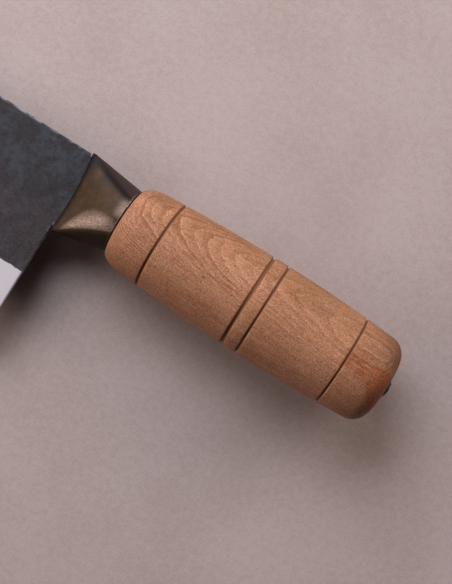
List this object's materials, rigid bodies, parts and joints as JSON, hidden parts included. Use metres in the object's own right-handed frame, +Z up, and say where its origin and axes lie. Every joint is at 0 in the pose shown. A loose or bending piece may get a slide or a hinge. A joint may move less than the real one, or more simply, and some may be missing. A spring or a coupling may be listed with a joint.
{
  "type": "bunka knife",
  "caption": "Kitchen knife with a tall dark blade, bright ground bevel and angled tip, a bronze fishtail sleeve that turns from flat to round, and a grooved barrel handle of turned wood.",
  "frame": {"origin": "centre of the bounding box, at the table the knife lies on", "axes": "+X along the knife toward the butt, +Y toward the spine, +Z up; the left face of the blade looks up"},
  "size_m": [0.3034, 0.0738, 0.0377],
  "materials": {
    "core_steel": "ground, fine lines along the blade",
    "forge_scale": "black forge scale, matt, ground bright on the bevel",
    "bronze": "browned, worn bright on ridges and rim",
    "tang_iron": "black, hammered",
    "resin": "dark, matt",
    "wood": "satin, reddish brown, turned"
  },
  "bodies": {
    "root": {"blade_core": "core_steel", "cladding_left": "forge_scale", "cladding_right": "forge_scale", "sleeve": "bronze", "tang_rod": "tang_iron", "sleeve_filler": "resin", "handle_bedding": "resin", "handle": "wood"}
  },
  "joints": []
}
